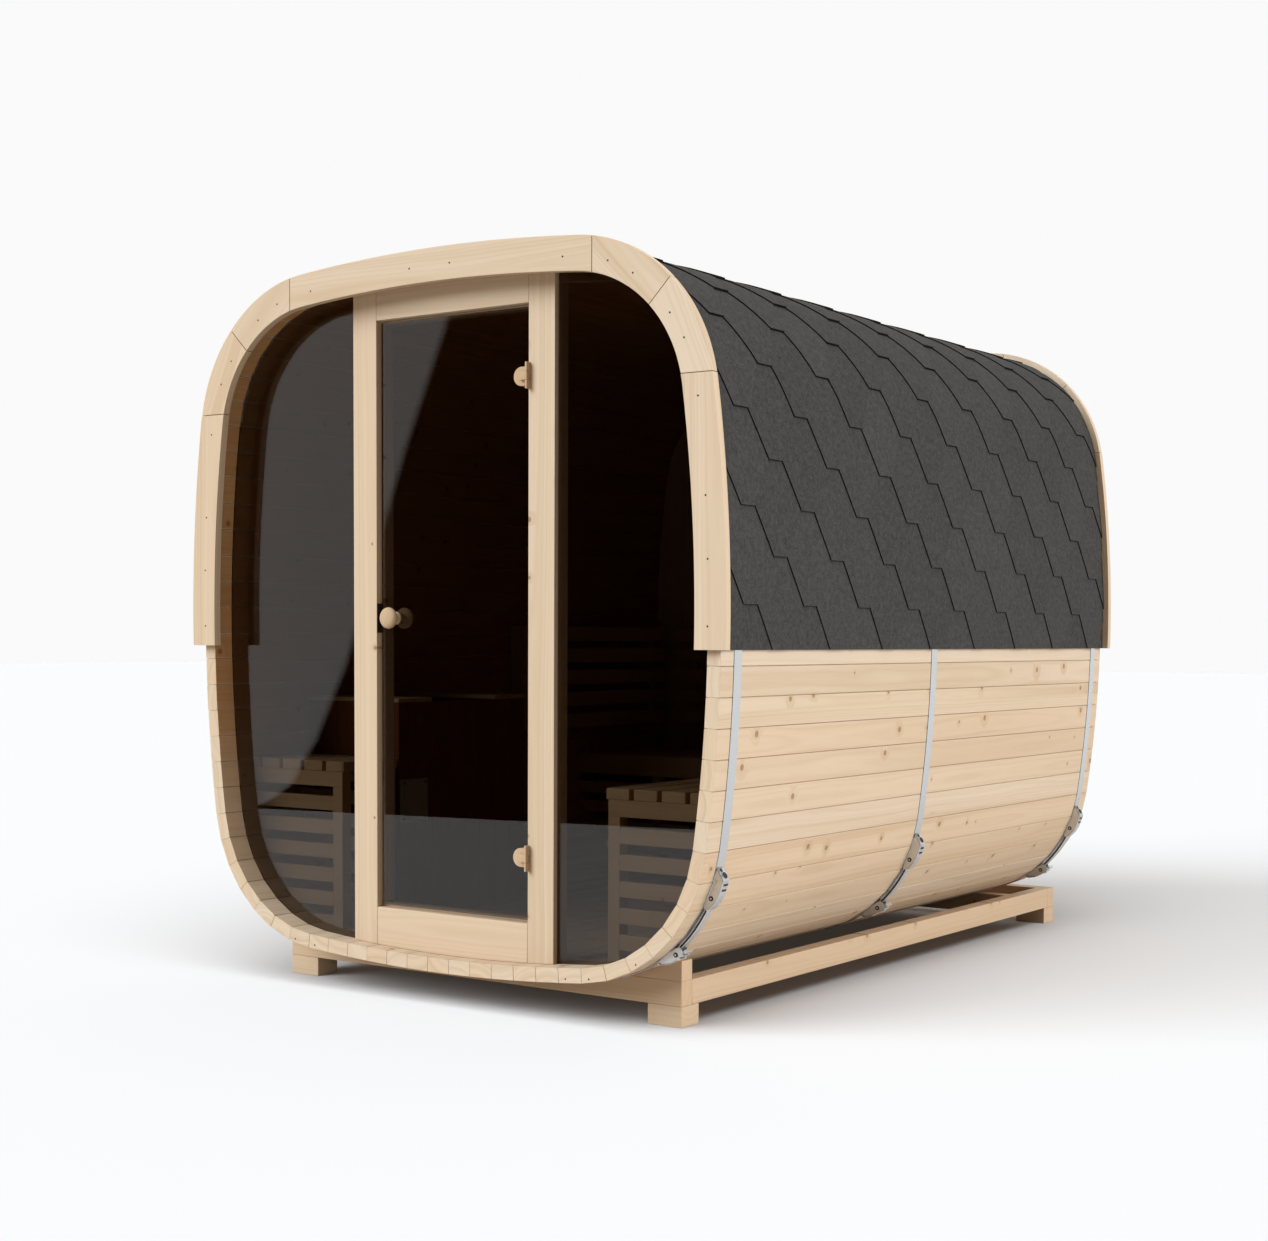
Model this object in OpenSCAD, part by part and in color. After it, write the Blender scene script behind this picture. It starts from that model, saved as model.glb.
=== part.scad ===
// Square barrel sauna cabin: a rounded-square shell of staves on a timber cradle, with a recessed glass
// front, an all-glass door, a shingled roof over the upper half, trim boards round the ends and steel bands.
// The origin is on the floor under the middle of the whole. X is across, -Y is the front, Z is up.

/* [Shell] */
// Outer width of the stave shell
shell_w = 2042; // [1700:1:2500]
// Outer height of the stave shell
shell_h = 2162; // [1850:1:2600]
// Length of the staves
stave_len = 2720; // [2200:1:3400]
// Thickness of the staves
stave_t = 44; // [28:1:60]
// Height of the shell's lowest point above the floor
shell_lift = 104; // [90:1:200]
// Outer radius of the rounded corners
corner_r = 475; // [400:1:520]
// Half angle of each bowed side
side_half = 8; // [6:0.1:9.5]
// Half angle of the bowed top and bottom
top_half = 5.35; // [4:0.05:7]
// Staves in each bowed side
side_staves = 15; // [9:2:21]
// Staves in each corner
corner_staves = 7; // [4:1:10]
// Staves in the top, and in the bottom
top_staves = 13; // [7:2:19]

/* [Roof and trim] */
// Thickness of the shingle roofing
roof_t = 12; // [6:1:20]
// Height above the shell's middle of the roof's lower edge and of the ends of the trim
eave_rise = -85; // [-200:1:200]
// Width of the trim boards
trim_w = 101; // [70:1:140]
// Thickness of the trim boards
trim_t = 26; // [18:1:40]
// How far the trim stands out past the staves
trim_over = 30; // [20:1:50]

/* [Front] */
// Width of the door opening
opening_w = 606; // [520:1:800]
// Height of the door opening
opening_h = 1840; // [1500:1:1900]
// Width of the side posts of the door frame
jamb_w = 98; // [70:1:140]
// Depth of the door frame, front to back
jamb_d = 70; // [60:1:110]
// Height of the sill above the shell's inner bottom
sill_rise = 128; // [90:1:200]
// Distance of the door frame behind the front ends of the staves
frame_set = 58; // [40:1:120]
// Distance of the glass behind the front of the door frame
glass_set = 17; // [12:1:24]
// Thickness of the glass
glass_t = 8; // [6:1:12]
// Gap round the door leaf
door_gap = 7; // [6:1:10]
// Width of the stop behind the door leaf
stop_w = 12; // [10:1:16]

/* [Hinges and knob] */
// Height of the lower hinge above the shell's inner bottom
hinge_low = 325; // [150:1:500]
// Height of the upper hinge above the shell's inner bottom
hinge_high = 1754; // [1400:1:1800]
// Height of a hinge barrel
barrel_h = 78; // [60:1:100]
// Diameter of a hinge barrel
barrel_d = 13; // [11:1:18]
// Diameter of a hinge pin
pin_d = 6; // [4:1:8]
// Radial running clearance of a hinge pin
pin_clear = 0.05; // [0.02:0.01:0.1]
// Height of the hinge pads on the glass, which are round on the left
pad_d = 57; // [45:1:70]
// Diameter of the door knobs
knob_d = 67; // [45:1:70]
// Height of the knobs above the shell's inner bottom
knob_rise = 1042; // [800:1:1200]

/* [Back wall] */
// Distance of the back wall behind the back ends of the staves
back_set = 77; // [40:1:120]
// Thickness of the back wall
back_t = 45; // [28:1:60]

/* [Bands] */
// Width of the steel bands
band_w = 40; // [25:1:50]
// Thickness of the steel bands
band_t = 2; // [1.5:0.5:3]
// Distance of the first band from the front ends of the staves
band_front = 88; // [60:1:160]
// Distance of the middle band from the front ends of the staves
band_middle = 1295; // [1000:1:1500]
// Distance of the last band from the back ends of the staves
band_back = 78; // [60:1:160]

/* [Cradle] */
// Distance of the cradle's sides in from the sides of the shell
base_inset = 232; // [190:1:320]
// How far the cradle stands out behind the back ends of the staves
base_over = 134; // [60:1:240]
// Distance of the cradle behind the front ends of the staves
base_set = 164; // [60:1:260]
// Height of the cradle timbers
timber_h = 75; // [60:1:100]
// Thickness of the cradle timbers
timber_t = 55; // [45:1:80]
// Height of the foot blocks
foot_h = 62; // [40:1:90]
// Width of the foot blocks
foot_w = 120; // [80:1:160]
// Depth of the foot blocks, front to back
foot_d = 92; // [80:1:130]
// Greatest height of the chocks on the front beam
chock_h = 60; // [50:1:80]
// Length of the chocks
chock_w = 185; // [120:1:230]

/* [Benches] */
// Height of the bench tops above the shell's inner bottom
bench_rise = 542; // [400:1:600]
// Height of the short left bench above the right one
left_bench_lift = 33; // [0:1:60]
// Distance of the side benches' front edges from the middle of the cabin
aisle_half = 529; // [420:1:560]
// Depth of the back bench, front to back
back_bench_d = 640; // [450:1:750]
// Length of the short left bench
left_bench_len = 257; // [200:1:400]
// Width of a bench board
board_w = 83; // [70:1:110]
// Gap between bench boards
board_gap = 16; // [8:1:20]
// Thickness of the bench boards
board_t = 34; // [22:1:40]
// Height of the slats under the benches
slat_h = 47; // [40:1:70]
// Gap between those slats
slat_gap = 32; // [15:1:40]
// Height of the slats of the backrests
rest_slat_h = 59; // [45:1:70]
// Gap between those slats
rest_gap = 30; // [15:1:40]
// Thickness of all the slats
slat_t = 20; // [15:1:28]
// Side of the square bench posts
post_t = 42; // [35:1:60]

/* [Heater guard] */
// Length of the heater guard along the left wall
guard_len = 680; // [500:1:900]
// Height of the heater guard above the shell's inner bottom
guard_h = 775; // [600:1:900]
// Distance of the heater guard's face from the middle of the cabin
guard_x = 560; // [500:1:700]
// Width of the grey control box
box_w = 135; // [100:1:180]
// Height of the grey control box
box_h = 148; // [120:1:240]
// Depth of the control box in front of the guard
box_d = 12; // [8:1:60]
// Distance of the control box under the top of the guard
box_drop = 274; // [100:1:400]

/* [Hidden] */

$fn = 48;
fit = 0.3;                       // clearance where a piece is cut to the curve of the shell
seat = 0.05;                     // clearance under what is drawn down on another piece
swing_gap = 5.5;                 // least clearance of the door leaf and its hinges
knuckle_gap = 0.5;               // clearance between the knuckles of a hinge
reach = 4000;                    // longer than the cabin, for cutting shapes

pine = [0.90, 0.80, 0.66];
pine_dark = [0.82, 0.70, 0.54];
shingle = [0.27, 0.27, 0.27];
steel = [0.78, 0.80, 0.82];
smoked = [0.12, 0.09, 0.07];
brown = [0.50, 0.28, 0.16];
grey = [0.60, 0.62, 0.62];

// Heights and ends of the shell
mid_z = shell_lift + shell_h/2;
inner_low = shell_lift + stave_t;
base_w = shell_w - 2*base_inset;
base_len = stave_len - base_set + base_over;
overall_len = trim_t + max(base_set + base_len, stave_len + trim_t);
front_y = trim_t - overall_len/2;
back_y = front_y + stave_len;
eave_z = mid_z + eave_rise;

// Radii of the bowed sides and of the bowed top, from the width, the height and the corner radius
side_rest = shell_h/2 - corner_r*(cos(top_half) - sin(side_half));
top_rest = shell_w/2 - corner_r*(cos(side_half) - sin(top_half));
bow_det = sin(side_half)*sin(top_half) - (1 - cos(top_half))*(1 - cos(side_half));
side_r = (side_rest*sin(top_half) - (1 - cos(top_half))*top_rest)/bow_det;
top_r = (sin(side_half)*top_rest - (1 - cos(side_half))*side_rest)/bow_det;
corner_x = shell_w/2 - side_r + (side_r - corner_r)*cos(side_half);
corner_z = (side_r - corner_r)*sin(side_half);

// Front wall
sill_z = inner_low + sill_rise;
head_z = sill_z + opening_h;
frame_y = front_y + frame_set;
glass_y = frame_y + glass_set;
glass_back = glass_y + glass_t;
stop_y = glass_back + swing_gap;
frame_back = frame_y + jamb_d;
frame_half = opening_w/2 + jamb_w;
wall_in_y = back_y - back_set - back_t;

// Hinges: the axis stands in front of the right post's edge
axis_x = opening_w/2 + 2;
axis_y = frame_y - barrel_d/2 - swing_gap;
hinge_zs = [inner_low + hinge_low, inner_low + hinge_high];
knuckle_h = (barrel_h - 2*knuckle_gap)/3;
pad_x = axis_x - barrel_d/2 - swing_gap;
pad_mid = pad_x - 0.3*pad_d;
pad_t = glass_y - frame_y + 1;
knob_x = -opening_w/2 + 66;
knob_z = inner_low + knob_rise;

band_ys = [front_y + band_front, front_y + band_middle, back_y - band_back];

// Cradle: the front beam and the bearer stand as far in from the two ends of the staves
base_y = front_y + base_set;
base_back = base_y + base_len;
beam_top = foot_h + timber_h;
bearer_y = back_y - base_set - timber_t;
rail_x = base_w/2 - timber_t;

// Benches
bench_z = inner_low + bench_rise;
bench_under = bench_z - board_t;
bench_front = glass_back + 65;
back_bench_y = wall_in_y - back_bench_d;
rail_h = 50;
slats = 6;                        // slats below a bench top, where the shell leaves room
guard_front = bench_front + left_bench_len + 20;
guard_back = guard_front + guard_len;
guard_z = inner_low + guard_h;
guard_t = 20;
cap_t = 14;
cap_len = guard_len/4;

// One arc of the outline: its centre, its radius, and the angles of its ends
function corner_arc(sx, sz, a0, a1) = [[sx*corner_x, sz*corner_z], corner_r, a0, a1];
arcs = [
    [[shell_w/2 - side_r, 0], side_r, -side_half, side_half],
    corner_arc(1, 1, side_half, 90 - top_half),
    [[0, shell_h/2 - top_r], top_r, 90 - top_half, 90 + top_half],
    corner_arc(-1, 1, 90 + top_half, 180 - side_half),
    [[side_r - shell_w/2, 0], side_r, 180 - side_half, 180 + side_half],
    corner_arc(-1, -1, 180 + side_half, 270 - top_half),
    [[0, top_r - shell_h/2], top_r, 270 - top_half, 270 + top_half],
    corner_arc(1, -1, 270 + top_half, 360 - side_half)];
stave_counts = [side_staves, corner_staves, top_staves, corner_staves,
    side_staves, corner_staves, top_staves, corner_staves];

// Point at a share of the way along an arc, moved out from the staves' outer face
function arc_point(arc, share, out) =
    let (a = arc[2] + (arc[3] - arc[2])*share)
    [arc[0][0] + (arc[1] + out)*cos(a), mid_z + arc[0][1] + (arc[1] + out)*sin(a)];

// Points along arc number i, with the joints of the staves or with a given number of steps
function arc_run(i, steps, out) = [for (k = [0:steps]) arc_point(arcs[i], k/steps, out)];
function joints(i, out) = arc_run(i, stave_counts[i], out);
function flip(list) = [for (k = [len(list) - 1:-1:0]) list[k]];
function chain(ids, out) = [for (i = ids) each joints(i, out)];
function outline(out) = [for (i = [0:7]) for (k = [0:stave_counts[i] - 1])
    arc_point(arcs[i], k/stave_counts[i], out)];
function smooth_outline(out) = [for (i = [0:7]) for (k = [0:39]) arc_point(arcs[i], k/40, out)];

// A shape drawn across the cabin, in X and Z, drawn out from y0 to y1
module along(y0, y1) {
    translate([0, y1, 0]) rotate([90, 0, 0]) linear_extrude(y1 - y0) children();
}

// A box from its low corner to its high corner
module block(low, high) {
    translate(low) cube(high - low);
}

// The same thing on the right (side = 1) or mirrored to the left (side = -1)
module on_side(side) {
    mirror([side < 0 ? 1 : 0, 0, 0]) children();
}

// Layer of the shell over the arcs listed, between two distances from the staves' outer face
module layer(ids, inner, outer, y0, y1) {
    along(y0, y1) polygon(concat(chain(ids, outer), flip(chain(ids, inner))));
}

module staves(ids) {
    color(pine) layer(ids, -stave_t, 0, front_y, back_y);
}

// What lies inside the shell, from y0 to y1
module inside(y0, y1) {
    along(y0, y1) polygon(outline(-stave_t - fit));
}

module floor_shell() staves([6]);
module ceiling_shell() staves([2]);
module left_wall_shell() staves([4]);
module right_wall_shell() staves([0]);
module low_left_corner_shell() staves([5]);
module low_right_corner_shell() staves([7]);
module top_left_corner_shell() staves([3]);
module top_right_corner_shell() staves([1]);

// Shingle roofing: it lies over the bands and stops at the eaves
roof_in = band_t + fit;
module roof_top() color(shingle) layer([2], roof_in, roof_in + roof_t, front_y, back_y);
module roof_side(ids) {
    color(shingle) intersection() {
        layer(ids, roof_in, roof_in + roof_t, front_y, back_y);
        block([-reach, -reach, eave_z], [reach, reach, reach]);
    }
}
module roof_left() roof_side([3, 4]);
module roof_right() roof_side([0, 1]);

// Ring of trim over the shell's end, cut to one board by the shape given
trim_joint_x = corner_x + 90;
trim_joint_z = mid_z + corner_z + 88;
module trim_board(y0) {
    color(pine) along(y0, y0 + trim_t) intersection() {
        difference() {
            polygon(smooth_outline(trim_over));
            polygon(smooth_outline(trim_over - trim_w));
        }
        children();
    }
}
module top_cut() translate([-trim_joint_x, trim_joint_z]) square([2*trim_joint_x, reach]);
module upper_cut(side) polygon([[side*trim_joint_x, trim_joint_z], [side*trim_joint_x, trim_joint_z + reach],
    [side*(trim_joint_x + reach), trim_joint_z + reach]]);
module lower_cut(side) polygon([[side*trim_joint_x, trim_joint_z],
    [side*(trim_joint_x + reach), trim_joint_z + reach], [side*(trim_joint_x + reach), trim_joint_z]]);
module side_cut(side, top) polygon([[side*trim_joint_x, eave_z], [side*reach, eave_z],
    [side*reach, top], [side*trim_joint_x, top]]);

trim_y = front_y - trim_t;
module front_trim_top() trim_board(trim_y) top_cut();
module front_trim_upper_left() trim_board(trim_y) upper_cut(-1);
module front_trim_upper_right() trim_board(trim_y) upper_cut(1);
module front_trim_lower_left() trim_board(trim_y) lower_cut(-1);
module front_trim_lower_right() trim_board(trim_y) lower_cut(1);
module front_trim_side_left() trim_board(trim_y) side_cut(-1, trim_joint_z);
module front_trim_side_right() trim_board(trim_y) side_cut(1, trim_joint_z);
module back_trim_top() trim_board(back_y) top_cut();
module back_trim_left() trim_board(back_y) side_cut(-1, reach);
module back_trim_right() trim_board(back_y) side_cut(1, reach);

// Door frame: posts cut to the shell at both ends, with a stop behind the leaf
module door_post(side) {
    color(pine) intersection() {
        inside(frame_y, frame_back);
        union() {
            on_side(side) block([opening_w/2, frame_y, 0], [frame_half, frame_back, reach]);
            on_side(side)
                block([opening_w/2 - stop_w, stop_y, sill_z], [opening_w/2 + 1, frame_back, head_z]);
        }
    }
}
module door_post_left() door_post(-1);
module door_post_right() door_post(1);
module door_sill() {
    color(pine) intersection() {
        inside(frame_y, frame_back);
        union() {
            block([-opening_w/2, frame_y, 0], [opening_w/2, frame_back, sill_z]);
            block([stop_w - opening_w/2, stop_y, 0], [opening_w/2 - stop_w, frame_back, sill_z + stop_w]);
        }
    }
}
module door_head() {
    color(pine) intersection() {
        inside(frame_y, frame_back);
        union() {
            block([-opening_w/2, frame_y, head_z], [opening_w/2, frame_back, reach]);
            block([stop_w - opening_w/2, stop_y, head_z - stop_w],
                [opening_w/2 - stop_w, frame_back, reach]);
        }
    }
}

// Fixed panes between the door frame and the curve of the shell
module pane(side) {
    color(smoked) intersection() {
        inside(glass_y, glass_back);
        on_side(side) block([frame_half, front_y, 0], [reach, back_y, reach]);
    }
}
module left_pane() pane(-1);
module right_pane() pane(1);

module back_wall() color(pine) inside(wall_in_y, wall_in_y + back_t);

// Steel band round the whole shell, with a tensioner low on each side: an upper lug, a lower lug and the
// strap between them. Their outlines are given as degrees below level round the corner's centre, and
// distances from the staves.
lug_w = 34;
strap_out = 13;
strap_t = 3;
upper_lug = [[14, 0], [14, 30], [24, 31], [29, 24], [31, 15], [31, 0]];
lower_lug = [[43, 0], [43, 28], [48, 26], [55, 17], [56, 0]];
function below_level(angle, out) = [corner_x + (corner_r + out)*cos(angle),
    mid_z - corner_z - (corner_r + out)*sin(angle)];
module strap(inner, outer, a0, a1) {
    polygon(concat([for (k = [0:6]) below_level(a0 + (a1 - a0)*k/6, inner)],
        [for (k = [6:-1:0]) below_level(a0 + (a1 - a0)*k/6, outer)]));
}
module tensioner(y) {
    along(y - lug_w/2, y + lug_w/2) difference() {
        union() {
            polygon([for (p = upper_lug) below_level(p[0], p[1])]);
            polygon([for (p = lower_lug) below_level(p[0], p[1])]);
            strap(strap_out, strap_out + strap_t, 30, 44);
        }
        polygon(outline(band_t + seat));
    }
}
module band(y) {
    color(steel) {
        along(y - band_w/2, y + band_w/2) difference() {
            polygon(outline(band_t));
            polygon(outline(seat));
        }
        for (side = [-1, 1]) on_side(side) tensioner(y);
    }
}
module front_band() band(band_ys[0]);
module middle_band() band(band_ys[1]);
module back_band() band(band_ys[2]);

// Cradle of four timbers on foot blocks, with a bearer between its rails. The shell lies in the hollow tops
// of the front beam and the bearer, and against the chocks on the front beam.
module below_shell() {
    difference() {
        children();
        along(-reach, reach) polygon(outline(fit));
    }
}
module cradle_beams() {
    color(pine_dark) below_shell() {
        for (y = [base_y, base_back - timber_t])
            block([-base_w/2, y, foot_h], [base_w/2, y + timber_t, beam_top]);
        block([-rail_x, bearer_y, foot_h], [rail_x, bearer_y + timber_t, beam_top]);
    }
}
module cradle_rails() {
    color(pine_dark) for (side = [-1, 1]) on_side(side)
        block([rail_x, base_y + timber_t, foot_h], [base_w/2, base_back - timber_t, beam_top]);
}
module cradle_feet() {
    color(pine_dark) for (side = [-1, 1], y = [base_y, base_back - foot_d]) on_side(side)
        block([base_w/2 - foot_w, y, 0], [base_w/2, y + foot_d, foot_h]);
}
module cradle_chocks() {
    color(pine_dark) below_shell() for (side = [-1, 1]) on_side(side)
        block([base_w/2 - chock_w, base_y, beam_top], [base_w/2, base_y + timber_t, beam_top + chock_h]);
}

// Slats one under another across the cabin, with a gap over the first
module slats_down(x0, x1, y, top) {
    for (k = [1:slats])
        block([x0, y, top - k*(slat_h + slat_gap)], [x1, y + slat_t, top - k*(slat_h + slat_gap) + slat_h]);
}

// Frame of a side bench: boards along the wall on cross rails, posts at the aisle and slats down the ends
module side_bench(y0, y1, lift) {
    post_x = aisle_half + 8;
    rail_top = bench_under + lift;
    intersection() {
        inside(y0, y1);
        union() {
            for (x = [aisle_half:board_w + board_gap:shell_w/2])
                block([x, y0, rail_top], [x + board_w, y1, rail_top + board_t]);
            for (y = [y0, y1 - post_t]) {
                block([post_x, y, rail_top - rail_h], [reach, y + post_t, rail_top]);
                block([post_x, y, 0], [post_x + post_t, y + post_t, rail_top]);
                slats_down(post_x, reach, y, rail_top - rail_h);
            }
        }
    }
}
module right_bench() color(pine) side_bench(bench_front, back_bench_y - 10, 0);
module left_bench() color(pine) mirror([1, 0, 0])
    side_bench(bench_front, bench_front + left_bench_len, left_bench_lift);

// Back bench across the cabin, one board lower, with boards and front slats that run from wall to wall
module back_bench() {
    front = back_bench_y;
    rail_top = bench_under - board_t;
    color(pine) intersection() {
        inside(front, wall_in_y - fit);
        union() {
            for (y = [front + slat_t:board_w + board_gap:wall_in_y - board_w/2])
                block([-reach, y, rail_top], [reach, y + board_w, bench_under]);
            block([-reach, front, bench_under - board_w], [reach, front + slat_t, bench_under]);
            slats_down(-reach, reach, front, bench_under - board_w);
            for (x = [-aisle_half - post_t, -post_t/2, aisle_half]) {
                block([x, front + slat_t - 1, 0], [x + post_t, front + slat_t + post_t, rail_top]);
                block([x, front + slat_t, rail_top - rail_h], [x + post_t, wall_in_y, rail_top]);
            }
        }
    }
}

// Backrests over the back bench: slats on uprights, one set along the left wall and one along the back wall
rest_low = bench_z + 72;
rest_slats = 5;
rest_top = rest_low + rest_slats*rest_slat_h + (rest_slats - 1)*rest_gap;
rest_x = shell_w/2 - stave_t - 62;
module slats_up(low, high, count) {
    for (k = [0:count - 1])
        translate([0, 0, k*(rest_slat_h + rest_gap)])
            block(low, [high[0], high[1], low[2] + rest_slat_h]);
}
module backrests() {
    rest_y = wall_in_y - fit - slat_t - post_t/2;
    color(pine) intersection() {
        inside(front_y, wall_in_y - fit);
        union() {
            slats_up([-rest_x, wall_in_y - 1060, rest_low], [-rest_x + slat_t, rest_y - 15, 0], rest_slats);
            for (y = [wall_in_y - 1030, wall_in_y - 150])
                block([-reach, y, rest_low], [-rest_x + 1, y + post_t, rest_top]);
        }
    }
    color(pine) {
        slats_up([-rest_x + 60, rest_y, rest_low], [rest_x - 60, rest_y + slat_t, 0], rest_slats);
        for (x = [-rest_x + 120, -post_t/2, rest_x - 120 - post_t])
            block([x, rest_y + slat_t - 1, rest_low], [x + post_t, wall_in_y, rest_top]);
    }
}

// Boarded guard round the heater's place on the left wall, with a cap at each end of its open top
module heater_guard() {
    body_z = guard_z - cap_t;
    color(brown) intersection() {
        inside(guard_front, guard_back);
        union() {
            block([-guard_x, guard_front, 0], [-guard_x + guard_t, guard_back, body_z]);
            for (y = [guard_front, guard_back - guard_t])
                block([-reach, y, 0], [-guard_x + 1, y + guard_t, body_z]);
            for (y = [guard_front, guard_back - cap_len])
                block([-reach, y, body_z - 0.01], [-guard_x + guard_t, y + cap_len, guard_z]);
        }
    }
}
module control_box() {
    x = -guard_x + guard_t;
    y = guard_front + 2;
    z = guard_z - box_drop;
    color(grey) block([x, y, z - box_h], [x + box_d, y + box_w, z]);
}

// Hinges: the frame holds the outer knuckles and the pin, and the leaf holds the knuckle between them
module frame_hinges() {
    color(pine_dark) for (z = hinge_zs) translate([axis_x, axis_y, z]) {
        cylinder(d = pin_d, h = barrel_h, center = true);
        for (side = [-1, 1]) translate([0, 0, side*(barrel_h/2 - knuckle_h/2)]) {
            cylinder(d = barrel_d, h = knuckle_h, center = true);
            translate([0, 0, -knuckle_h/2]) cube([barrel_d/2, frame_y - axis_y, knuckle_h]);
        }
    }
}
module pad(z, right, y0, y1) {
    along(y0, y1) intersection() {
        hull() for (x = [pad_mid, pad_mid + pad_d]) translate([x, z]) circle(d = pad_d);
        translate([0, z - pad_d/2]) square([right, pad_d]);
    }
}
module hinge_arm(z, x1, y1) {
    block([pad_mid, axis_y, z - knuckle_h/2], [x1, y1, z + knuckle_h/2]);
}
module door_hinges() {
    color(pine_dark) for (z = hinge_zs) {
        difference() {
            union() {
                translate([axis_x, axis_y, z]) cylinder(d = barrel_d, h = knuckle_h, center = true);
                hinge_arm(z, axis_x - 3, frame_y - swing_gap);
                hinge_arm(z, pad_x, glass_y - pad_t + 4);
                pad(z, pad_x, glass_y - pad_t, glass_y);
            }
            translate([axis_x, axis_y, z]) cylinder(d = pin_d + 2*pin_clear, h = barrel_h, center = true);
        }
        pad(z, opening_w/2 - stop_w - swing_gap, glass_back, glass_back + 8);
    }
}
module door_glass() {
    color(smoked) block([-opening_w/2 + door_gap, glass_y, sill_z + door_gap + 1],
        [opening_w/2 - door_gap, glass_back, head_z - door_gap - 1]);
}

// Round wooden knobs on short flared necks, one on each face of the glass
knob_neck = 19;
knob_thick = 32;
neck_r = 14;
foot_r = 20;
module knob() {
    dome_r = (pow(knob_d/2, 2) + pow(knob_thick/2, 2))/knob_thick;
    rotate_extrude() {
        square([foot_r, 4]);
        square([neck_r, knob_neck + 4]);
        intersection() {
            translate([0, knob_neck + dome_r]) circle(r = dome_r);
            translate([0, knob_neck + knob_thick - dome_r]) circle(r = dome_r);
            square([knob_d, reach]);
        }
    }
}
module door_knobs() {
    color(pine_dark) {
        translate([knob_x, glass_y, knob_z]) rotate([90, 0, 0]) knob();
        translate([knob_x, glass_back, knob_z]) rotate([-90, 0, 0]) knob();
    }
}

floor_shell();
ceiling_shell();
left_wall_shell();
right_wall_shell();
low_left_corner_shell();
low_right_corner_shell();
top_left_corner_shell();
top_right_corner_shell();
roof_top();
roof_left();
roof_right();
front_trim_top();
front_trim_upper_left();
front_trim_upper_right();
front_trim_lower_left();
front_trim_lower_right();
front_trim_side_left();
front_trim_side_right();
back_trim_top();
back_trim_left();
back_trim_right();
door_post_left();
door_post_right();
door_head();
door_sill();
left_pane();
right_pane();
back_wall();
front_band();
middle_band();
back_band();
cradle_beams();
cradle_rails();
cradle_feet();
cradle_chocks();
right_bench();
left_bench();
back_bench();
backrests();
heater_guard();
control_box();
frame_hinges();
door_glass();
door_hinges();
door_knobs();
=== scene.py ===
"""Looks of the square barrel sauna cabin: timber boards, shingles, steel bands and tinted glass."""
import math
import random

import bmesh
import bpy
from mathutils import Matrix, Vector


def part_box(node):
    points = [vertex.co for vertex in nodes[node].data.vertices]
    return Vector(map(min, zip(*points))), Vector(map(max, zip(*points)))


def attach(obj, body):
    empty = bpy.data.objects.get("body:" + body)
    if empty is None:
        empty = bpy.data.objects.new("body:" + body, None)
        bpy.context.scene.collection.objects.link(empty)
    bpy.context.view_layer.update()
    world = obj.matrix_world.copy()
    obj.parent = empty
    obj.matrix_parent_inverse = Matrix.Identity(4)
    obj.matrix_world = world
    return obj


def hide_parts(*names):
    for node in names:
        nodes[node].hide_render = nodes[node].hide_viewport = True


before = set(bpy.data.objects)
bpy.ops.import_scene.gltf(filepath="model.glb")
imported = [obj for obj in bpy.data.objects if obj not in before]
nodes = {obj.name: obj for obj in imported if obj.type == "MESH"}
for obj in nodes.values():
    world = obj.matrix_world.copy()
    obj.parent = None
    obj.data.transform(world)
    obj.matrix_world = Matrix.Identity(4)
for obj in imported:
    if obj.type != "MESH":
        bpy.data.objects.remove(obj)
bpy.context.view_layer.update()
random.seed(7)

X = Vector((1, 0, 0))
Y = Vector((0, 1, 0))
Z = Vector((0, 0, 1))


# The shell's outline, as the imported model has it: eight arcs with one flat for each stave

SHELL_W = 2.042
SHELL_H = 2.162
STAVE_T = 0.044
CORNER_R = 0.475
SIDE_HALF = math.radians(8)
TOP_HALF = math.radians(5.35)
STAVES = (15, 7, 13, 7, 15, 7, 13, 7)
FIT = 0.0003

FRONT_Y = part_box("floor_shell")[0].y
BACK_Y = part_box("floor_shell")[1].y
MID_Z = (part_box("floor_shell")[0].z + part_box("ceiling_shell")[1].z)/2
EAVE_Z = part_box("roof_right")[0].z


def outline_arcs():
    """The arcs as (centre x, centre z, radius, start, end), from the right side round over the top."""
    cos_side, sin_side = math.cos(SIDE_HALF), math.sin(SIDE_HALF)
    cos_top, sin_top = math.cos(TOP_HALF), math.sin(TOP_HALF)
    side_rest = SHELL_H/2 - CORNER_R*(cos_top - sin_side)
    top_rest = SHELL_W/2 - CORNER_R*(cos_side - sin_top)
    det = sin_side*sin_top - (1 - cos_top)*(1 - cos_side)
    side_r = (side_rest*sin_top - (1 - cos_top)*top_rest)/det
    top_r = (sin_side*top_rest - (1 - cos_side)*side_rest)/det
    side_x = SHELL_W/2 - side_r
    top_z = SHELL_H/2 - top_r
    corner_x = side_x + (side_r - CORNER_R)*cos_side
    corner_z = (side_r - CORNER_R)*sin_side
    quarter = math.pi/2
    right = (side_x, 0, side_r, -SIDE_HALF, SIDE_HALF)
    top = (0, top_z, top_r, quarter - TOP_HALF, quarter + TOP_HALF)
    arcs = [right]
    for k, (sx, sz) in enumerate(((1, 1), (-1, 1), (-1, -1), (1, -1))):
        start = k*quarter + (TOP_HALF if k % 2 else SIDE_HALF)
        end = (k + 1)*quarter - (SIDE_HALF if k % 2 else TOP_HALF)
        arcs.append((sx*corner_x, sz*corner_z, CORNER_R, start, end))
        if k == 0:
            arcs.append(top)
        elif k == 1:
            arcs.append((-side_x, 0, side_r, math.pi - SIDE_HALF, math.pi + SIDE_HALF))
        elif k == 2:
            arcs.append((0, -top_z, top_r, 3*quarter - TOP_HALF, 3*quarter + TOP_HALF))
    return arcs


ARCS = outline_arcs()
CORNER_X = ARCS[1][0]
CORNER_Z = ARCS[1][1]


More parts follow.
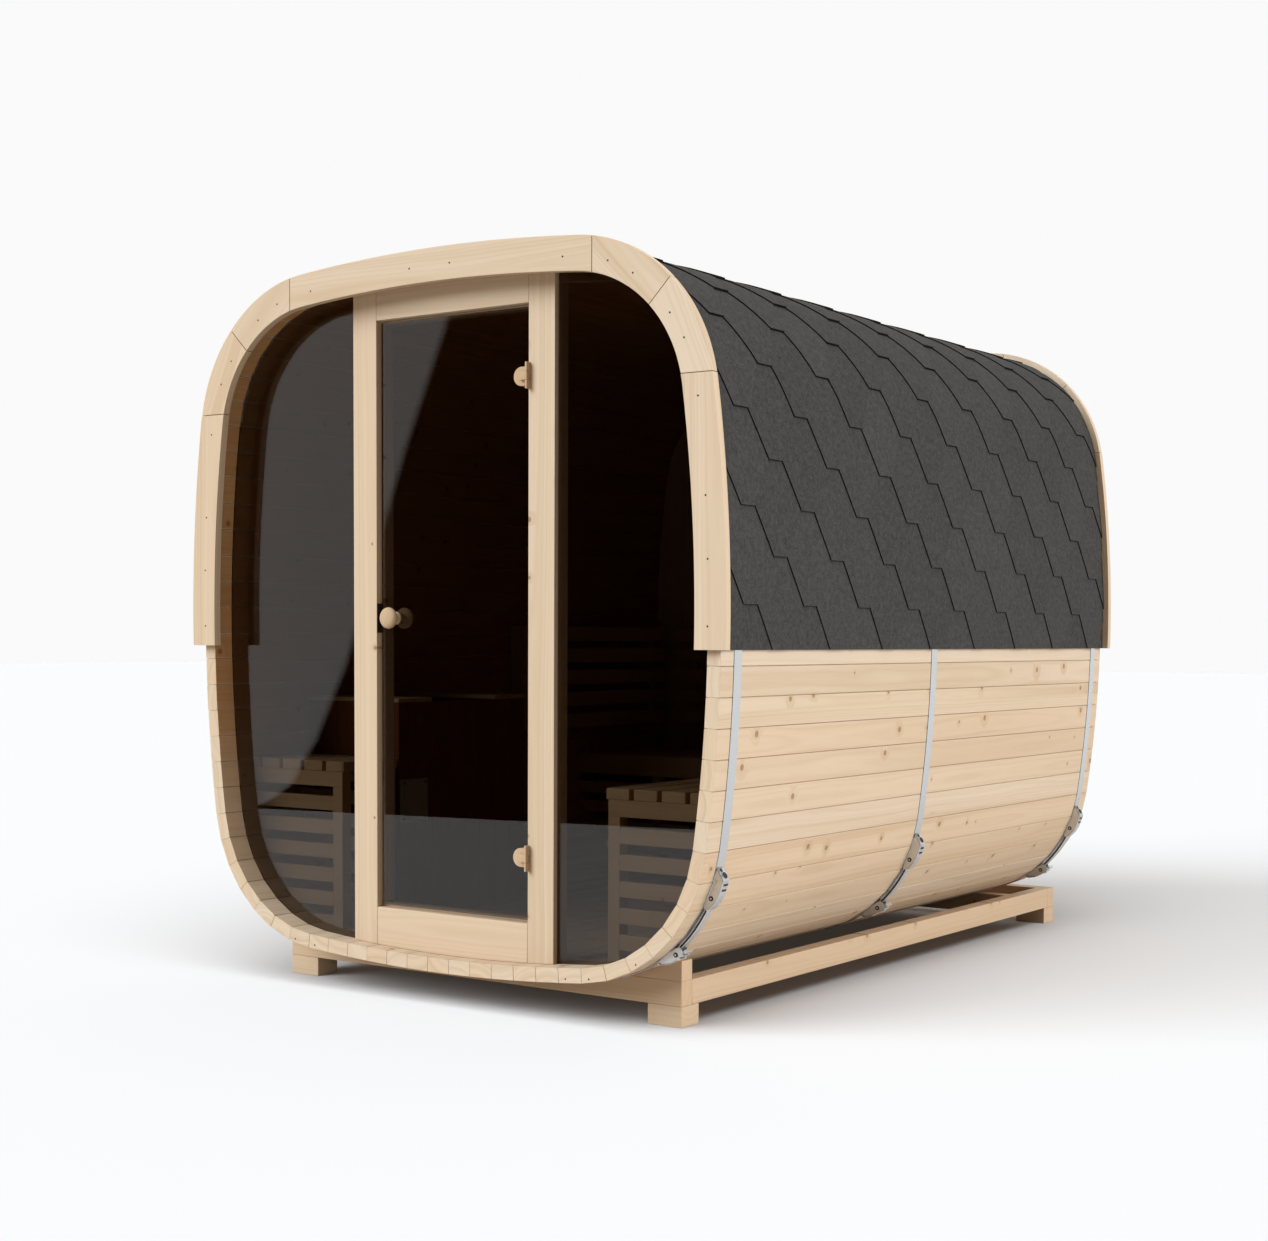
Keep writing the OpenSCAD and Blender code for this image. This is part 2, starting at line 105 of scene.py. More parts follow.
def at_angle(arc, angle, out):
    """Point (x, z) on an arc, moved out from the staves' outer face."""
    x, z, radius = arc[:3]
    return (x + (radius + out)*math.cos(angle), MID_Z + z + (radius + out)*math.sin(angle))


def arc_point(number, share, out):
    """Point (x, z) at a share of the way along an arc."""
    arc = ARCS[number]
    return at_angle(arc, arc[3] + (arc[4] - arc[3])*share, out)


def arc_length(number):
    return ARCS[number][2]*(ARCS[number][4] - ARCS[number][3])


def outline(out):
    """The whole polygon of the staves' joints, moved out."""
    return [arc_point(i, k/STAVES[i], out) for i in range(8) for k in range(STAVES[i])]


INSIDE = outline(-STAVE_T - FIT)


# Pieces made of boards

def cut(polygon, point, normal):
    """The polygon's part on the side of a line that the normal points to."""
    kept = []
    for here, there in zip(polygon, polygon[1:] + polygon[:1]):
        a, b = ((p[0] - point[0])*normal[0] + (p[1] - point[1])*normal[1] for p in (here, there))
        if a >= 0:
            kept.append(here)
        if (a < 0) != (b < 0):
            share = a/(a - b)
            kept.append(tuple(p + (q - p)*share for p, q in zip(here, there)))
    return kept


def within(polygon, low, high):
    """The polygon's part inside a rectangle."""
    for point, normal in ((low, (1, 0)), (low, (0, 1)), (high, (-1, 0)), (high, (0, -1))):
        polygon = cut(polygon, point, normal)
        if not polygon:
            return []
    return thinned(polygon)


def thinned(polygon):
    """The polygon without doubled points, or nothing if no area is left."""
    kept = [p for p, q in zip(polygon, polygon[1:] + polygon[:1]) if math.dist(p, q) > 1e-5]
    return kept if len(kept) > 2 else []


def ring_at(x, z, radius, sides=16):
    """A ring of points (x, z) round a centre."""
    turns = [2*math.pi*k/sides for k in range(sides)]
    return [(x + radius*math.cos(turn), z + radius*math.sin(turn)) for turn in turns]


def prism(section, y0, y1):
    """A shape drawn across the cabin, in x and z, drawn out from y0 to y1."""
    made = bmesh.new()
    low = [made.verts.new((x, y0, z)) for x, z in section]
    high = [made.verts.new((x, y1, z)) for x, z in section]
    made.faces.new(low)
    made.faces.new(high[::-1])
    for k in range(len(section)):
        n = (k + 1) % len(section)
        made.faces.new((low[n], low[k], high[k], high[n]))
    bmesh.ops.recalc_face_normals(made, faces=made.faces)
    return made


def block(low, high):
    """A box between its lowest and its highest corner."""
    section = [(low[0], low[2]), (high[0], low[2]), (high[0], high[2]), (low[0], high[2])]
    return prism(section, low[1], high[1])


def islands(mesh):
    """The vertices of a bmesh, grouped into the solids that they belong to."""
    left = set(mesh.verts)
    groups = []
    while left:
        first = min(left, key=lambda v: v.index)
        group, waiting = {first}, [first]
        while waiting:
            for edge in waiting.pop().link_edges:
                for v in edge.verts:
                    if v not in group:
                        group.add(v)
                        waiting.append(v)
        left -= group
        groups.append(sorted(group, key=lambda v: v.index))
    return groups


# Where a board lies in its log: the heart's distance, its offset to the side, and the log's length
HEART_AWAY = (0.07, 0.22)
HEART_ASIDE = 0.05
LOG_LENGTH = 40
SHARP = math.radians(25)


def spread(values):
    return max(values) - min(values)


class Piece:
    """One object, gathered from boards. Each board has its own grain, cut from its own place in a log."""

    def __init__(self, name, body, slot, *replaced):
        self.name = name
        self.body = body
        self.slot = slot
        self.replaced = replaced
        self.points = []
        self.faces = []
        self.face_looks = []
        self.grain = []
        self.tone = []

    def add(self, mesh, along=Y, bevel=0.0015, depth=None, look=0, tone=None, steps=2):
        """Takes in a bmesh: bevels its sharp edges and notes the grain, which runs along one direction."""
        if bevel:
            edges = [e for e in mesh.edges if e.is_manifold and e.calc_face_angle(0) > SHARP]
            bmesh.ops.bevel(mesh, geom=edges, offset=bevel, segments=steps, profile=0.6, affect="EDGES",
                            clamp_overlap=True)
        mesh.verts.index_update()
        first = len(self.points)
        self.points += [v.co.copy() for v in mesh.verts]
        self.grain += [None]*len(mesh.verts)
        self.tone += [0]*len(mesh.verts)
        for group in islands(mesh):
            self.mark(group, first, along, depth, tone)
        for face in mesh.faces:
            self.faces.append([first + v.index for v in face.verts])
            self.face_looks.append(look + face.material_index)
        mesh.free()

    def mark(self, group, first, along, depth, tone):
        """Grain for one solid: across, along and depth from the log's heart, and the board's own tone."""
        if depth is None:
            one = X if abs(along.y) > 0.9 else along.cross(Y)
            two = along.cross(one)
            depth = min((one, two), key=lambda axis: spread([v.co.dot(axis) for v in group]))
        across = along.cross(depth)
        middle = sum((v.co for v in group), Vector())/len(group)
        heart = middle - depth*random.choice((-1, 1))*random.uniform(*HEART_AWAY)
        heart += across*random.uniform(-HEART_ASIDE, HEART_ASIDE)
        shift = random.uniform(0, LOG_LENGTH)
        own = random.random() if tone is None else tone
        for v in group:
            place = v.co - heart
            self.grain[first + v.index] = (place.dot(across), place.dot(along) + shift, place.dot(depth))
            self.tone[first + v.index] = own

    def make(self, *looks, smooth=14):
        """Makes the Blender object. Edges that turn by more than smooth, in degrees, stay sharp."""
        mesh = bpy.data.meshes.new(self.name)
        mesh.from_pydata(self.points, [], self.faces)
        mesh.polygons.foreach_set("material_index", self.face_looks)
        grain = mesh.attributes.new("grain", "FLOAT_VECTOR", "POINT")
        grain.data.foreach_set("vector", [c for place in self.grain for c in place])
        tone = mesh.attributes.new("tone", "FLOAT", "POINT")
        tone.data.foreach_set("value", self.tone)
        mesh.shade_smooth()
        mesh.set_sharp_from_angle(angle=math.radians(smooth))
        for look in looks:
            mesh.materials.append(look)
        made = bpy.data.objects.new(self.name, mesh)
        bpy.context.scene.collection.objects.link(made)
        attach(made, self.body)
        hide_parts(*self.replaced)


def timber(piece, x, z, y, along=Y, **how):
    """A board between two x, two z and two y, cut to the inside of the shell."""
    section = within(INSIDE, (x[0], z[0]), (x[1], z[1]))
    if section:
        piece.add(prism(section, y[0], y[1]), along, **how)


def carried(piece, node, along):
    """A CAD node's own shape, with its edges rounded."""
    mesh = bmesh.new()
    mesh.from_mesh(nodes[node].data)
    bmesh.ops.remove_doubles(mesh, verts=mesh.verts, dist=1e-5)
    bmesh.ops.dissolve_limit(mesh, angle_limit=math.radians(0.5), verts=mesh.verts, edges=mesh.edges)
    bmesh.ops.recalc_face_normals(mesh, faces=mesh.faces)
    piece.add(mesh, along, bevel=0.003)


# Materials

def linear(part):
    """One part of a screen colour, from 0 to 255, as a linear value."""
    return part/255/12.92 if part < 10.3 else ((part/255 + 0.055)/1.055)**2.4


def colour(red, green, blue, factor=1.0):
    """A screen colour as Blender's linear colour, made darker or lighter by a factor."""
    return tuple(linear(part)*factor for part in (red, green, blue)) + (1,)


class Nodes:
    """A node tree, with short calls for its nodes."""

    def __init__(self, tree):
        self.tree = tree

    def put(self, socket, value):
        """Sets a socket, or links it where the value is another node's output."""
        if isinstance(value, bpy.types.NodeSocket):
            self.tree.links.new(value, socket)
        else:
            socket.default_value = value

    def node(self, kind, *values, **settings):
        """A new node. The values go to its enabled inputs, in their order."""
        made = self.tree.nodes.new("ShaderNode" + kind)
        for key, value in settings.items():
            setattr(made, key, value)
        for socket, value in zip([s for s in made.inputs if s.enabled], values):
            self.put(socket, value)
        return made

    def attribute(self, name, kind):
        return self.node("Attribute", attribute_name=name).outputs[kind]

    def place(self):
        """The place on the object, in metres."""
        return self.node("TexCoord").outputs["Object"]

    def rays(self, kind):
        """1 for one kind of ray, and 0 for the others."""
        return self.node("LightPath").outputs["Is " + kind + " Ray"]

    def seen(self):
        """1 where a ray shows the background: to the camera, in a reflection or through glass."""
        shown = self.math("MAXIMUM", self.rays("Camera"), self.rays("Glossy"))
        return self.math("MAXIMUM", shown, self.rays("Transmission"))

    def math(self, operation, *values):
        return self.node("Math", *values, operation=operation).outputs[0]

    def times(self, one, two):
        return self.math("MULTIPLY", one, two)

    def plus(self, total, *values):
        for value in values:
            total = self.math("ADD", total, value)
        return total

    def scaled(self, vector, factors):
        return self.node("VectorMath", vector, factors, operation="MULTIPLY").outputs[0]

    def noise(self, vector, scale, detail=2.0, roughness=0.5):
        return self.node("TexNoise", vector, scale, detail, roughness).outputs[0]

    def step(self, value, low, high, start=0.0, end=1.0):
        """Goes smoothly from start to end while the value goes from low to high."""
        made = self.node("MapRange", value, low, high, start, end, interpolation_type="SMOOTHSTEP")
        return made.outputs[0]

    def mix(self, share, one, two, blend="MIX"):
        made = self.node("Mix", data_type="RGBA", blend_type=blend)
        for name, value in (("Factor", share), ("A", one), ("B", two)):
            self.put([s for s in made.inputs if s.name == name and s.enabled][0], value)
        return [s for s in made.outputs if s.enabled][0]


class Look(Nodes):
    """A Principled material, with short calls for the nodes that feed it."""

    def __init__(self, name, **sockets):
        self.material = bpy.data.materials.new(name)
        self.material.use_nodes = True
        super().__init__(self.material.node_tree)
        self.shader = self.tree.nodes["Principled BSDF"]
        for socket, value in sockets.items():
            self.set(socket.replace("_", " "), value)

    def set(self, socket, value):
        self.put(self.shader.inputs[socket], value)

    def bump(self, height, distance, strength):
        made = self.node("Bump")
        self.put(made.inputs["Height"], height)
        self.put(made.inputs["Distance"], distance)
        self.put(made.inputs["Strength"], strength)
        self.set("Normal", made.outputs[0])


def knots(look, grain, share):
    """The cores and the halos of knots, in a share of the cells of a pattern across the grain."""
    cells = look.node("TexVoronoi", look.scaled(grain, (8.0, 8.0, 0.0)), 1.0, voronoi_dimensions="2D")
    draws = look.node("SeparateColor", cells.outputs["Color"]).outputs
    chosen = look.math("GREATER_THAN", draws[0], 1 - share)
    size = look.step(draws[1], 0.0, 1.0, 0.030, 0.080)
    nearness = look.math("DIVIDE", cells.outputs["Distance"], size)
    return [look.times(look.step(nearness, edge, full), chosen) for edge, full in ((1.15, 0.8), (4.5, 1.0))]


WARM = (0.97, 0.88, 0.78)
BOUNCED = (0.60, 0.49, 0.40, 1)
# Heights, in metres, over which the painted shade on the staves' inner faces grows to full
RISING_SHADE_FROM, RISING_SHADE_TO = 0.25, 1.0


def wood(name, pale, dark, knot=(172, 124, 80), knot_share=0.2, ring_depth=0.5, roughness=0.62,
         vary=0.5, painted_rising_shade=None):
    """Planed timber: yearly rings round the log's heart, streaks along the grain, fibres and sparse
    knots. Boards differ in warmth. A face may get a painted shade, multiplied in as a warm dark
    colour that grows with height. Light that bounces off the wood to another face is darker and browner."""
    look = Look(name, Specular_IOR_Level=0.2)
    grain = look.attribute("grain", "Vector")
    tone = look.attribute("tone", "Fac")
    across, along, deep = look.node("SeparateXYZ", grain).outputs
    core, halo = knots(look, grain, knot_share)
    drift = look.noise(look.scaled(grain, (5.0, 0.9, 5.0)), 1.0)
    radius = look.math("SQRT", look.plus(look.times(across, across), look.times(deep, deep)))
    bent = look.plus(radius, look.times(drift, 0.018), look.times(halo, 0.006))
    late = look.step(look.math("PINGPONG", look.times(bent, 400.0), 1.0), 0.35, 1.0)
    years = look.node("CombineXYZ", look.times(bent, 75.0), look.times(along, 0.25), tone).outputs[0]
    streaks = look.noise(years, 1.0, 3.0, 0.6)
    fibres = look.noise(look.scaled(grain, (700.0, 9.0, 700.0)), 1.0)
    shade = look.plus(look.times(late, 0.22*ring_depth),
                      look.step(streaks, 0.35, 0.8, 0.0, 0.75*ring_depth),
                      look.step(fibres, 0.3, 0.7, 0.0, 0.16*ring_depth),
                      look.times(halo, 0.2))
    warm = tuple(c*f for c, f in zip(colour(*pale), WARM)) + (1,)
    cool_body, warm_body = (look.mix(shade, light, colour(*dark)) for light in (colour(*pale), warm))
    body = look.mix(look.times(tone, vary), cool_body, warm_body)
    body = look.mix(look.times(core, 0.6), body, colour(*knot))
    # Painted shade: a warm dark colour multiplied in, growing with height
    if painted_rising_shade:
        height = look.node("SeparateXYZ", look.place()).outputs[2]
        body = look.mix(look.step(height, RISING_SHADE_FROM, RISING_SHADE_TO), body, painted_rising_shade, "MULTIPLY")
    look.set("Base Color", look.mix(look.rays("Diffuse"), body, BOUNCED, "MULTIPLY"))
    look.set("Roughness", look.step(shade, 0.0, 0.8, roughness - 0.06, roughness + 0.08))
    look.bump(look.math("SUBTRACT", look.times(fibres, 0.4), look.times(late, 0.6)), 0.00025, 0.6)
    return look.material


def shingle_look(name, base):
    """Bitumen shingle: coloured mineral grains in small drifts, each tab a little its own shade."""
    look = Look(name, Roughness=0.95, Specular_IOR_Level=0.15)
    place = look.place()
    tone = look.attribute("tone", "Fac")
    grains = look.node("TexVoronoi", place, 480.0)
    light = look.node("SeparateColor", grains.outputs["Color"]).outputs[0]
    fleck = look.noise(place, 190.0, 3.0, 0.7)
    drift = look.noise(place, 60.0, 4.0, 0.65)
    shade = look.plus(look.times(light, 0.1),
                      look.step(fleck, 0.3, 0.7, 0.0, 0.5),
                      look.step(drift, 0.3, 0.7, 0.0, 0.38),
                      look.times(tone, 0.12))
    look.set("Base Color", look.mix(shade, colour(*base, factor=0.5), colour(*base, factor=1.5)))
    look.bump(look.plus(light, look.times(fleck, 3.0)), 0.0005, 0.8)
    return look.material


def metal_look(name, base, metallic=1.0, roughness=0.32):
    """Smooth zinc-plated steel or painted sheet, with faint marks of handling."""
    look = Look(name, Metallic=metallic)
    place = look.place()
    cloud = look.noise(place, 30.0, 4.0, 0.6)
    fine = look.noise(look.scaled(place, (900.0, 60.0, 900.0)), 1.0)
    shade = look.plus(look.times(cloud, 0.7), look.times(fine, 0.3))
    look.set("Base Color", look.mix(shade, colour(*base, factor=0.86), colour(*base)))
    look.set("Roughness", look.step(cloud, 0.3, 0.7, roughness - 0.06, roughness + 0.08))
    look.bump(fine, 0.00005, 0.4)
    return look.material


def glass_look(name, tint):
    """Tinted glass with a clean polished face. Lamps and bounced light pass through it."""
    look = Look(name, Transmission_Weight=1.0, IOR=1.44, Roughness=0.0)
    faint = look.noise(look.place(), 1.3, 1.0)
    look.set("Base Color", look.mix(faint, tuple(c*0.94 for c in tint) + (1,), tint + (1,)))
    clear = look.node("BsdfTransparent", tuple(math.sqrt(c) for c in tint) + (1,)).outputs[0]
    through = look.math("MAXIMUM", look.rays("Shadow"), look.rays("Diffuse"))
    both = look.node("MixShader", through, look.shader.outputs[0], clear).outputs[0]
    look.put(look.tree.nodes["Material Output"].inputs["Surface"], both)
    return look.material


PALE = ((239, 220, 195), (206, 174, 134), (134, 86, 48))
SPRUCE = wood("spruce", *PALE, ring_depth=0.66, vary=0.8)
CLEAR_SPRUCE = wood("clear_spruce", *PALE, knot_share=0.0, ring_depth=0.66, vary=0.8)
# The staves' inner faces, with a warm painted shade that deepens with height
INNER_SPRUCE = wood("inner_spruce", *PALE, ring_depth=0.66, vary=0.8, painted_rising_shade=(0.72, 0.50, 0.30, 1))
BENCH_WOOD = wood("bench_spruce", (232, 206, 172), (200, 162, 118), knot=(140, 92, 55))
CRADLE_WOOD = wood("cradle_spruce", (226, 200, 168), (194, 160, 120), knot=(150, 104, 64))
GUARD_WOOD = wood("guard_wood", (146, 96, 60), (96, 60, 37), knot=(70, 36, 22), knot_share=0.05, vary=0.9)
HINGE_WOOD = wood("hinge_wood", (220, 192, 158), (196, 162, 122), knot_share=0.0, ring_depth=0.7,
                  roughness=0.5)
SHINGLE = shingle_look("shingle", (74, 73, 71))
# The tabs' cut edges: partly the bitumen's own dark, partly painted shade along each tab's edge
SHINGLE_EDGE = shingle_look("shingle_edge", (26, 25, 24))
STEEL = metal_look("band_steel", (218, 219, 220))
DARK_STEEL = metal_look("bolt_steel", (84, 80, 77), roughness=0.42)
# Dark matte colour: the washers' own, and painted shade in the band's edge faces, the housing's slots and
# the sockets' mouths
DARK_WASHER_AND_PAINTED_SHADE = metal_look("hollow", (52, 48, 46), metallic=0.0, roughness=0.7)
BOX_PAINT = metal_look("box_metal", (205, 212, 212), metallic=0.3, roughness=0.45)
CATCH = metal_look("catch_plate", (26, 24, 22), metallic=0.0, roughness=0.5)
TINTED = glass_look("tinted_glass", (0.32, 0.293, 0.265))


# The shell: one board for each stave, with a slit between boards and a tongue deep in each slit

SLIT = 0.0011
GROOVE = 0.0016
UNEVEN = 0.0012
TONGUE = 0.004
TONGUE_DEEP = 0.008
INNER_FACES = (6, 7, 8)
NAILED = {(5, 6), (6, 0), (6, 12), (6, 13), (6, 14), (7, 0), (7, 2)}
NAIL_R = 0.0028
SHELL_NODES = ("right_wall_shell", "top_right_corner_shell", "ceiling_shell", "top_left_corner_shell",
               "left_wall_shell", "low_left_corner_shell", "floor_shell", "low_right_corner_shell")


def stave_section(number, start, end, chamfer, deep=0.0):
    """Section of a board over one share of an arc, with its four corners cut off."""
    slope = chamfer/arc_length(number)
    rows = [(start, deep + chamfer), (start + slope, deep), (end - slope, deep), (end, deep + chamfer)]
    rows += [(share, STAVE_T - depth) for share, depth in rows[::-1]]
    return [arc_point(number, share, -depth) for share, depth in rows]


def nail(piece, x, z, y0, y1, look=1):
    piece.add(prism(ring_at(x, z, NAIL_R, 12), y0, y1), bevel=0, look=look)


def shell_piece(name, number):
    """One arc's boards, their front ends a little uneven. The three inner faces of a board carry a
    painted shade that darkens and warms them with height. A few boards near the low corners have a
    nail in their front ends."""
    piece = Piece(name.replace("shell", "staves"), "cabin", "spruce", name)
    count = STAVES[number]
    length = arc_length(number)
    for k in range(count):
        joint = k/count
        middle = (k + 0.5)/count
        x, z = Vector(arc_point(number, middle, 0)) - Vector(arc_point(number, middle, -STAVE_T))
        inset = random.uniform(0, UNEVEN)
        section = stave_section(number, joint + SLIT/2/length, (k + 1)/count - SLIT/2/length, GROOVE)
        stave = prism(section, FRONT_Y + inset, BACK_Y)
        stave.faces.ensure_lookup_table()
        for face in INNER_FACES:
            stave.faces[face].material_index = 1
        piece.add(stave, bevel=0.0007, depth=Vector((x, 0, z)).normalized())
        section = stave_section(number, joint - TONGUE/length, joint + TONGUE/length, 0.0005, TONGUE_DEEP)
        piece.add(prism(section, FRONT_Y + 0.0022, BACK_Y - 0.001), bevel=0)
        if (number, k) in NAILED:
            x, z = arc_point(number, (k + 0.3)/count, -0.012)
            nail(piece, x, z, FRONT_Y + inset - 0.0003, FRONT_Y + 0.002, look=2)
    piece.make(SPRUCE, INNER_SPRUCE, DARK_STEEL)


for arc_number, shell_node in enumerate(SHELL_NODES):
    shell_piece(shell_node, arc_number)


# The roof: courses of hexagonal tabs laid from the eave to the ridge on both sides

COURSE = 0.1375
PITCH = 0.330
TAB_FLAT = 0.080
TAB_T = 0.004
ROOF_LIFT = 0.0135
LAY = 0.008
BENDS = COURSE/5
OVER_BANDS = 0.0023
EAVE_ANGLE = math.asin((EAVE_Z - MID_Z)/(ARCS[0][2] + LAY))
SLOPE = [ARCS[0][:3] + (EAVE_ANGLE, SIDE_HALF), ARCS[1], ARCS[2][:3] + (ARCS[2][3], math.pi/2)]
SLOPE_RUNS = [(arc[2] + LAY)*(arc[4] - arc[3]) for arc in SLOPE]
RIDGE = sum(SLOPE_RUNS)
FIRST_ROW = -0.010
FIRST_TAB = 0.135
CAP_LENGTH = 0.28
CAP_STEP = 0.14
CAP_HALF = 0.125
CAP_BENDS = 8
CAP_LIFTS = (0.0150, 0.0125)


def on_slope(up, out):
    """Point (x, z) of the right slope at a distance up from the eave."""
    for arc, run in zip(SLOPE[:2], SLOPE_RUNS):
        if up < run:
            return at_angle(arc, arc[3] + up/(arc[2] + LAY), out)
        up -= run
    return at_angle(SLOPE[2], SLOPE[2][3] + up/(SLOPE[2][2] + LAY), out)


def lay_tab(piece, side, shape, low, tone):
    """One tab, drawn as (y, distance up), bent over the roof. It lies on the course below it."""
    mesh = bmesh.new()
    mesh.faces.new([mesh.verts.new((y, up, 0)) for y, up in shape])
    start = min(up for y, up in shape)
    end = max(up for y, up in shape)
    line = start + BENDS
    while line < end - 0.002:
        parts = mesh.verts[:] + mesh.edges[:] + mesh.faces[:]
        bmesh.ops.bisect_plane(mesh, geom=parts, plane_co=(0, line, 0), plane_no=(0, 1, 0))
        line += BENDS
    top = bmesh.ops.extrude_face_region(mesh, geom=mesh.faces[:])["geom"]
    for v in top:
        if isinstance(v, bmesh.types.BMVert):
            v.co.z = 1
    # The tab's side faces take the dark edge look, which is partly painted shade
    for face in mesh.faces:
        levels = [v.co.z for v in face.verts]
        face.material_index = 1 if max(levels) != min(levels) else 0
    for v in mesh.verts:
        y, up, level = v.co
        fall = TAB_T*(up - low)/COURSE
        out = max(ROOF_LIFT - fall - TAB_T*(1 - level), OVER_BANDS + 0.0005*level)
        x, z = on_slope(up, out)
        v.co = (side*x, y, z)
    bmesh.ops.recalc_face_normals(mesh, faces=mesh.faces)
    piece.add(mesh, bevel=0, tone=tone)


ROOFS = {name: Piece(name.replace("roof", "shingles"), "cabin", "shingles", name)
         for name in ("roof_left", "roof_right", "roof_top")}
HALF_FLAT = TAB_FLAT/2
SLANT = PITCH/2 - TAB_FLAT
for side in (1, -1):
    for row in range(-1, math.ceil((RIDGE - FIRST_ROW)/COURSE)):
        low = FIRST_ROW + row*COURSE
        centre = FRONT_Y + FIRST_TAB - 2*PITCH + (row + 1) % 2*PITCH/2
        while centre - PITCH/2 < BACK_Y:
            mid, edge = HALF_FLAT + SLANT, PITCH/2
            shape = [(-HALF_FLAT, 0), (HALF_FLAT, 0), (mid, COURSE), (edge, COURSE), (edge, 2*COURSE),
                     (-edge, 2*COURSE), (-edge, COURSE), (-mid, COURSE)]
            shape = within([(centre + y, low + up) for y, up in shape], (FRONT_Y, 0), (BACK_Y, RIDGE))
            if shape:
                over = low + COURSE > sum(SLOPE_RUNS[:2])
                name = "roof_top" if over else "roof_right" if side > 0 else "roof_left"
                lay_tab(ROOFS[name], side, shape, low, random.random())
            centre += PITCH


def ridge_caps(piece):
    """Plain shingles folded over the ridge, each laid over the one in front of it."""
    y = FRONT_Y
    while y < BACK_Y - 0.01:
        end = min(y + CAP_LENGTH, BACK_Y)
        mesh = bmesh.new()
        rows = []
        for k in range(CAP_BENDS + 1):
            angle = math.pi/2 - (2*CAP_HALF*k/CAP_BENDS - CAP_HALF)/ARCS[2][2]
            row = []
            for yy, lift in zip((y, end), CAP_LIFTS):
                for out in (lift - TAB_T/2, lift):
                    x, z = at_angle(ARCS[2], angle, out)
                    row.append(mesh.verts.new((x, yy, z)))
            rows.append(row)
        # Side and end faces take the dark edge look, which is partly painted shade
        for a, b in zip(rows, rows[1:]):
            for i, j, edge in ((0, 1, 1), (1, 3, 0), (3, 2, 1), (2, 0, 0)):
                mesh.faces.new((a[i], a[j], b[j], b[i])).material_index = edge
        for a in (rows[0], rows[-1]):
            mesh.faces.new((a[0], a[1], a[3], a[2])).material_index = 1
        bmesh.ops.recalc_face_normals(mesh, faces=mesh.faces)
        piece.add(mesh, bevel=0)
        y += CAP_STEP


ridge_caps(ROOFS["roof_top"])
for roof in ROOFS.values():
    roof.make(SHINGLE, SHINGLE_EDGE)


# Trim boards round the ends, with narrow joints and small nail heads

TRIM_OUT = 0.030
TRIM_W = 0.101
TRIM_T = FRONT_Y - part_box("front_trim_top")[0].y
JOINT = (CORNER_X + 0.090, MID_Z + CORNER_Z + 0.088)
HAIRLINE = 0.0010
SLOPING = (math.sqrt(0.5), -math.sqrt(0.5))
ARC_STEPS = 40
NAIL_PROUD = 0.0004
# Nails: the arc's number, the share of the way along it, and the distance in from the trim's edge
TRIM_NAILS = {
    "top": ((2, 0.05, 0.060), (2, 0.437, 0.053), (2, 0.582, 0.054), (2, 0.96, 0.060)),
    "upper": ((1, 0.657, 0.062), (1, 0.82, 0.060)),
    "lower": ((1, 0.216, 0.060), (1, 0.361, 0.065)),
    "side": ((0, 0.97, 0.054), (0, 0.76, 0.055), (0, 0.626, 0.056), (0, 0.484, 0.058)),
}


def ring_part(numbers):
    """Outline of the trim ring over the arcs listed."""
    steps = [(i, k/ARC_STEPS) for i in numbers for k in range(ARC_STEPS + 1)]
    section = [arc_point(i, share, TRIM_OUT) for i, share in steps]
    return section + [arc_point(i, share, TRIM_OUT - TRIM_W) for i, share in steps[::-1]]


def joint_cut(section, normal):
    """The section on one side of a joint, a hairline clear of it."""
    point = [JOINT[k] + normal[k]*HAIRLINE for k in (0, 1)]
    return cut(section, point, normal)


def trim_board(piece, side, part, y, face):
    """One board of the ring. face is -1 where its outside faces the front, and 1 behind."""
    if part == "top":
        section = joint_cut(ring_part((1, 2, 3)), (-1, 0))
        section = cut(section, (HAIRLINE - JOINT[0], 0), (1, 0))
        along = X
    elif part == "upper":
        section = joint_cut(joint_cut(ring_part((1,)), (1, 0)), (-SLOPING[0], -SLOPING[1]))
        along = Vector((1, 0, -1)).normalized()
    elif part == "lower":
        section = joint_cut(joint_cut(ring_part((0, 1)), SLOPING), (0, 1))
        along = Vector((-0.45, 0, 1)).normalized()
    else:
        section = cut(joint_cut(ring_part((0, 1)), (0, -1)), (0, EAVE_Z), (0, 1))
        along = Z
    if side < 0:
        section = [(-x, z) for x, z in section]
        along = Vector((-along.x, 0, along.z))
    piece.add(prism(thinned(section), y, y + TRIM_T), along, bevel=0.002)
    front = y if face < 0 else y + TRIM_T
    for number, share, inward in TRIM_NAILS[part]:
        x, z = arc_point(number, share, TRIM_OUT - inward)
        nail(piece, side*x, z, front - NAIL_PROUD, front + NAIL_PROUD)


for end, y, face in (("front", FRONT_Y - TRIM_T, -1), ("back", BACK_Y, 1)):
    boards = {"top": ("top",)}
    for hand in ("left", "right"):
        if end == "front":
            for part in ("upper", "lower", "side"):
                boards[part + "_" + hand] = (part,)
        else:
            boards[hand] = ("upper", "lower", "side")
    for name, parts in boards.items():
        node = end + "_trim_" + name
        trim = Piece(node + "_board", "cabin", "spruce", node)
        for part in parts:
            trim_board(trim, -1 if name.endswith("left") else 1, part, y, face)
        trim.make(CLEAR_SPRUCE, DARK_STEEL)


# Door frame and back wall

OPEN_HALF = 0.303
STOP = 0.012
FRAME_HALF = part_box("door_post_right")[1].x
FRAME = (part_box("door_post_right")[0].y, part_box("door_post_right")[1].y)
GLASS = (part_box("door_glass")[0].y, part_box("door_glass")[1].y)
SILL_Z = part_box("door_sill")[1].z - STOP
HEAD_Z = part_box("door_head")[0].z + STOP
BEHIND = (GLASS[1] + 0.0055, FRAME[1])
CATCH_HALF = 0.046
CATCH_T = 0.0022
TALL = 3.0


def sided(side, one, two):
    """A pair of x on the right (side = 1) or mirrored to the left (side = -1), in rising order."""
    return tuple(sorted((side*one, side*two)))


